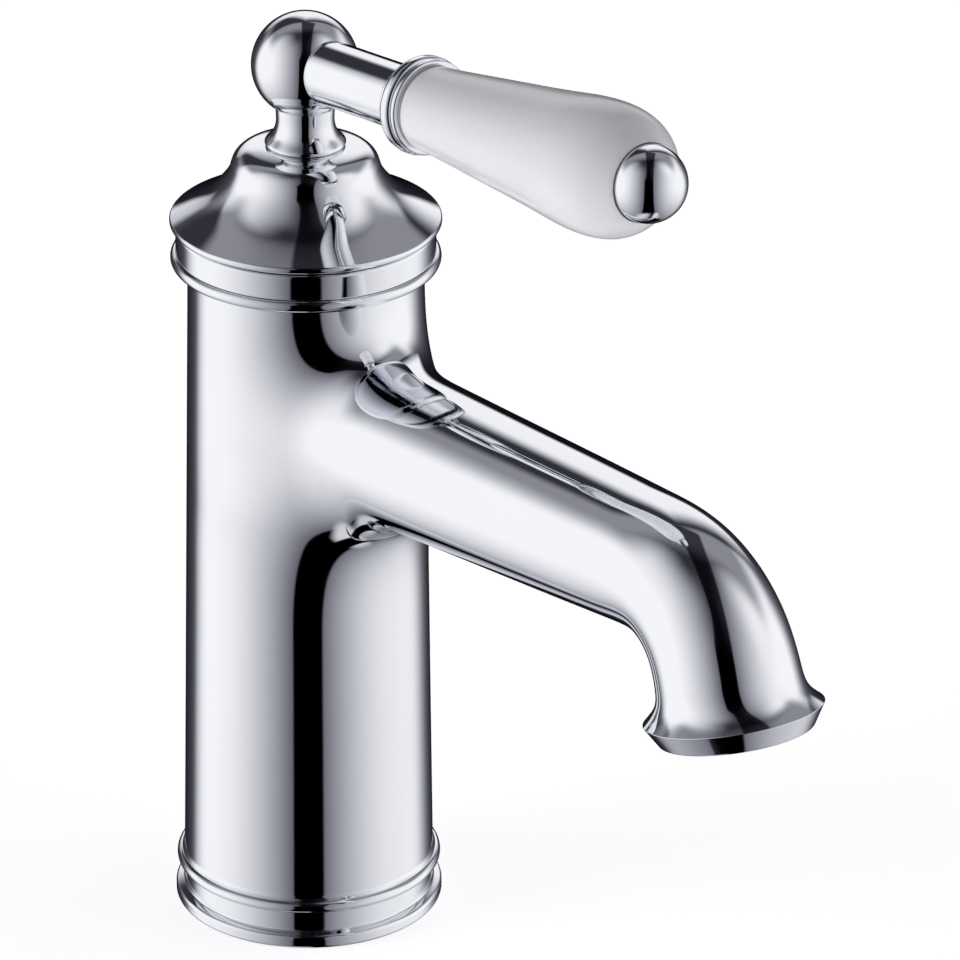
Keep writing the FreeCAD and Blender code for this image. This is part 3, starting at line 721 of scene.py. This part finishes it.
def porcelain(n):
    """White glazed body: soft depth under a clear, slightly uneven glaze with pinhole-fine specks."""
    cloud = n.noise(60.0, 2.0)
    speck = n.between(n.noise(1500.0, 1.0), 0.68, 0.78)
    body = n.blend(cloud, (0.79, 0.79, 0.815, 1), (0.83, 0.83, 0.85, 1))
    colour = n.blend(n.math("MULTIPLY", speck, 0.12), body, (0.70, 0.69, 0.67, 1))
    return {"Base Color": colour, "Roughness": n.between(cloud, 0.3, 0.7, 0.20, 0.27), "IOR": 1.45,
            "Specular IOR Level": 0.3, "Coat Weight": 0.25, "Coat Roughness": 0.12,
            "Subsurface Weight": 0.12, "Subsurface Radius": (0.004, 0.0035, 0.003), "Subsurface Scale": 0.4,
            "Normal": n.bump(n.noise(70.0, 2.0), 0.12, 0.0005)}


def brass(n):
    """Turned brass, unplated: fine tool marks round the axis and slight tarnish."""
    marks = n.noise(60.0, 4.0, (1.0, 1.0, 40.0))
    colour = n.blend(n.noise(90.0, 4.0), (0.60, 0.40, 0.15, 1), (0.83, 0.64, 0.30, 1))
    return {"Base Color": colour, "Metallic": 1.0, "Roughness": n.between(marks, 0.3, 0.7, 0.22, 0.38),
            "Normal": n.bump(marks, 0.25, 0.0002)}


def steel(n):
    """Stainless steel with a fine brushed grain."""
    grain = n.noise(110.0, 5.0, (1.0, 1.0, 30.0))
    colour = n.blend(grain, (0.50, 0.51, 0.53, 1), (0.66, 0.67, 0.69, 1))
    return {"Base Color": colour, "Metallic": 1.0, "Roughness": n.between(grain, 0.3, 0.7, 0.25, 0.42),
            "Normal": n.bump(grain, 0.2, 0.00015)}


def rubber(n):
    """Moulded seal rubber: near black, dull, with a fine moulded grain."""
    grain = n.noise(1800.0, 4.0)
    colour = n.blend(n.noise(120.0), (0.018, 0.018, 0.019, 1), (0.040, 0.039, 0.038, 1))
    return {"Base Color": colour, "Roughness": n.between(grain, 0.3, 0.7, 0.55, 0.75),
            "Normal": n.bump(grain, 0.3, 0.0001)}


def plastic(n):
    """Moulded acetal: off-white, satin, with faint flow marks."""
    flow = n.noise(90.0, 3.0, (1.0, 1.0, 3.0))
    colour = n.blend(flow, (0.70, 0.71, 0.72, 1), (0.80, 0.81, 0.81, 1))
    return {"Base Color": colour, "Roughness": n.between(n.noise(900.0), 0.3, 0.7, 0.30, 0.42),
            "Subsurface Weight": 0.08, "Subsurface Radius": (0.002, 0.002, 0.002), "Subsurface Scale": 0.4,
            "Normal": n.bump(flow, 0.1, 0.0002)}


def disc_ceramic(n):
    """Lapped alumina: ivory, smooth and very fine-grained."""
    grain = n.noise(2400.0, 4.0)
    colour = n.blend(grain, (0.80, 0.77, 0.70, 1), (0.90, 0.88, 0.83, 1))
    return {"Base Color": colour, "Roughness": n.between(grain, 0.3, 0.7, 0.16, 0.26),
            "Normal": n.bump(grain, 0.08, 0.00005)}


MATERIALS = {make.__name__: material(make.__name__, make)
             for make in (chrome, porcelain, brass, steel, rubber, plastic, disc_ceramic)}
SLOTS = {part["node"]: part["material_slot"] for part in frame["record"]["subparts"]}


# ---- surroundings ----
VIEW_TURN = math.radians(37.19)    # the camera stands this far round towards the left
VIEW_RISE = math.radians(25.0)
VIEW_ROLL = math.radians(0.29)
CAMERA_AT = (-0.8094, -1.1216, 0.7330)
LENS = 298.3
FLOOR_HALF = 4.0
LIT_AT = (0, 0, 0.1)               # the lights point here


def side_panels(n, x, y, z):
    """A bright panel on each side: brightest out to the side, dark behind, and dim overhead."""
    def ramp(*stops):
        node = n.add("ShaderNodeValToRGB", Fac=n.math("MULTIPLY_ADD", y, 0.5, 0.5))
        node.color_ramp.interpolation = "B_SPLINE"
        points = node.color_ramp.elements
        for i, (place, level) in enumerate(stops):
            point = points[i] if i < 2 else points.new(place)
            point.position = place * 0.5 + 0.5
            point.color = (level, level, level, 1)
        return node.outputs[0]

    left = ramp((-0.9, 0.52), (0.05, 0.60), (0.30, 0.67), (0.42, 0.62), (0.53, 0.42), (0.60, 0.14),
                (0.68, 0.05), (0.9, 0.04))
    right = ramp((-0.9, 0.52), (0.05, 0.53), (0.36, 0.64), (0.46, 0.62), (0.56, 0.50), (0.66, 0.30),
                 (0.76, 0.12), (0.9, 0.05))
    sides = n.blend(n.between(x, -0.02, 0.02), left, right)
    spread = n.math("MULTIPLY_ADD", n.math("POWER", n.math("ABSOLUTE", x), 1.3), 1.95, 0.02)
    level = n.math("MULTIPLY", sides, spread)
    over = n.math("ADD", n.between(x, -1.0, -0.20, 1.0, 0.03), n.between(x, 0.10, 0.85, 0.0, 0.95))
    up = n.between(z, 0.1, 0.5)
    light = n.mix(n.math("MULTIPLY", up, n.between(y, -0.6, -0.1)), level, over)
    rear = n.math("MULTIPLY", up, n.between(y, -0.1, 0.3))
    light = n.math("MULTIPLY", light, n.mix(rear, 1.0, n.between(z, 0.30, 0.62, 1.0, 0.35)))
    return n.math("MAXIMUM", light, n.math("MULTIPLY", up, n.between(y, -0.05, 0.35, 0.03, 0.28)))


def dark_slot(n, x, y, z, light):
    """The dark slot in front parts the two panels. Straight down it is narrow and its sides are bright."""
    left_edge = n.math("SUBTRACT", x, n.between(z, 0.4, 0.8, 0.0, 0.11))
    slot = n.math("MULTIPLY", n.between(left_edge, -0.215, -0.18), n.between(x, 0.215, 0.26, 1.0, 0.0))
    slot = n.math("MULTIPLY", slot, n.between(y, 0.50, 0.56, 1.0, 0.0))
    slot = n.math("MULTIPLY", slot, n.between(z, 0.3, 1.0, 1.0, 0.86))
    light = n.math("MULTIPLY", light, n.math("SUBTRACT", 1.0, slot))
    narrow = n.math("MULTIPLY", n.between(x, 0.0, 0.03), n.between(x, 0.19, 0.22, 1.0, 0.0))
    below_it = n.math("MULTIPLY_ADD", narrow, -0.72, 0.72)
    return n.mix(n.between(z, -0.985, -0.93, 1.0, 0.0), light, below_it)


def white_wall(n, x, y, z, edge, light):
    """The wall behind stands above the horizon and is greyer towards the left."""
    leftward = n.math("MULTIPLY", n.between(x, -1.0, 0.0, 0.75, 0.0, "LINEAR"), n.between(z, 0.2, 0.5))
    wall = n.between(n.math("SUBTRACT", edge, leftward), 0.55, 0.82)
    wall = n.math("MULTIPLY", wall, n.between(z, 0.04, 0.16))
    beside = n.between(n.math("ABSOLUTE", x), 0.5, 0.6)
    beside = n.math("MULTIPLY", beside, n.between(z, 0.2, 0.5, 1.0, 0.0))
    wall = n.math("MULTIPLY", wall, n.math("SUBTRACT", 1.0, beside))
    return n.mix(wall, light, n.between(x, -0.6, -0.15, 0.38, 1.0))


def studio():
    """What the chrome mirrors, as seen from the camera's side: x to its right, y away from it and z up."""
    world = bpy.data.worlds.new("studio")
    bpy.context.scene.world = world
    world.use_nodes = True
    n = Nodes(world.node_tree)
    sight = n.add("ShaderNodeTexCoord").outputs["Generated"]
    turn = n.add("ShaderNodeMapping", Vector=sight, Rotation=(0, 0, VIEW_TURN)).outputs[0]
    x, y, z = n.add("ShaderNodeSeparateXYZ", Vector=turn).outputs

    # a dark line runs along the wall's upper edge, which lies farther back towards the right
    light = side_panels(n, x, y, z)
    edge = n.math("SUBTRACT", y, n.math("MULTIPLY", n.math("MAXIMUM", x, 0.0), 0.38))
    seam = n.mix(n.between(z, 0.1, 0.5), 1.0, n.between(edge, 0.46, 0.56, 1.0, 0.12))
    light = dark_slot(n, x, y, z, n.math("MULTIPLY", light, seam))
    light = n.math("MINIMUM", white_wall(n, x, y, z, edge, light), 1.06)

    # greys lean to blue; the camera itself sees a plain pale background
    blue = n.math("POWER", light, 0.93)
    colour = n.add("ShaderNodeCombineColor", Red=light, Green=light, Blue=blue).outputs[0]
    reflected = n.add("ShaderNodeBackground", Color=colour, Strength=1.03).outputs[0]
    plain = n.add("ShaderNodeBackground", Color=(0.95, 0.955, 0.96, 1), Strength=1.05).outputs[0]
    direct = n.add("ShaderNodeLightPath").outputs["Is Camera Ray"]
    mixed = n.add("ShaderNodeMixShader", i0=direct, i1=reflected, i2=plain).outputs[0]
    n.add("ShaderNodeOutputWorld", Surface=mixed)


def pale(n):
    """The floor's plain paint, with a faint glow that keeps it near white."""
    return {"Base Color": n.blend(n.noise(6.0), (0.90, 0.90, 0.90, 1), (0.92, 0.92, 0.92, 1)),
            "Roughness": 0.9, "Specular IOR Level": 0.1, "Emission Color": (1, 1, 1, 1),
            "Emission Strength": 0.62}


def floor():
    mesh = bpy.data.meshes.new("floor")
    corners = [(x * FLOOR_HALF, y * FLOOR_HALF, 0) for x, y in ((-1, -1), (1, -1), (1, 1), (-1, 1))]
    mesh.from_pydata(corners, [], [(0, 1, 2, 3)])
    mesh.materials.append(material("pale_floor", pale))
    plane = bpy.data.objects.new("floor", mesh)
    bpy.context.scene.collection.objects.link(plane)
    plane.visible_glossy = False


def soft_light(name, place, size, power):
    lamp = bpy.data.lights.new(name, "AREA")
    lamp.shape = "DISK"
    lamp.size = size
    lamp.energy = power
    holder = bpy.data.objects.new(name, lamp)
    bpy.context.scene.collection.objects.link(holder)
    holder.location = place
    holder.rotation_euler = (Vector(LIT_AT) - Vector(place)).to_track_quat("-Z", "Y").to_euler()
    holder.visible_glossy = False


def camera():
    lens = bpy.data.cameras.new("photo_camera")
    lens.lens = LENS
    lens.sensor_width = 36
    lens.clip_end = 50
    holder = bpy.data.objects.new("photo_camera", lens)
    bpy.context.scene.collection.objects.link(holder)
    aim = Euler((math.pi / 2 - VIEW_RISE, 0, -VIEW_TURN)).to_matrix() @ Matrix.Rotation(VIEW_ROLL, 3, "Z")
    holder.rotation_euler = aim.to_euler()
    holder.location = CAMERA_AT
    bpy.context.scene.camera = holder


body_casting()
for make in (base_ring, collar_ring, dome_cover, bell_cap, lever_hub, lever_rod, lever_ferrule,
             porcelain_grip, end_ball):
    make()
for node, piece in frame["nodes"].items():
    piece.data.materials.clear()
    piece.data.materials.append(MATERIALS[SLOTS[node]])
studio()
floor()
soft_light("key", (-2.2, 0.9, 0.5), 1.6, 16)
soft_light("fill", (2.0, 0.2, 0.4), 1.6, 5)
camera()
bpy.context.scene.view_settings.view_transform = "Standard"
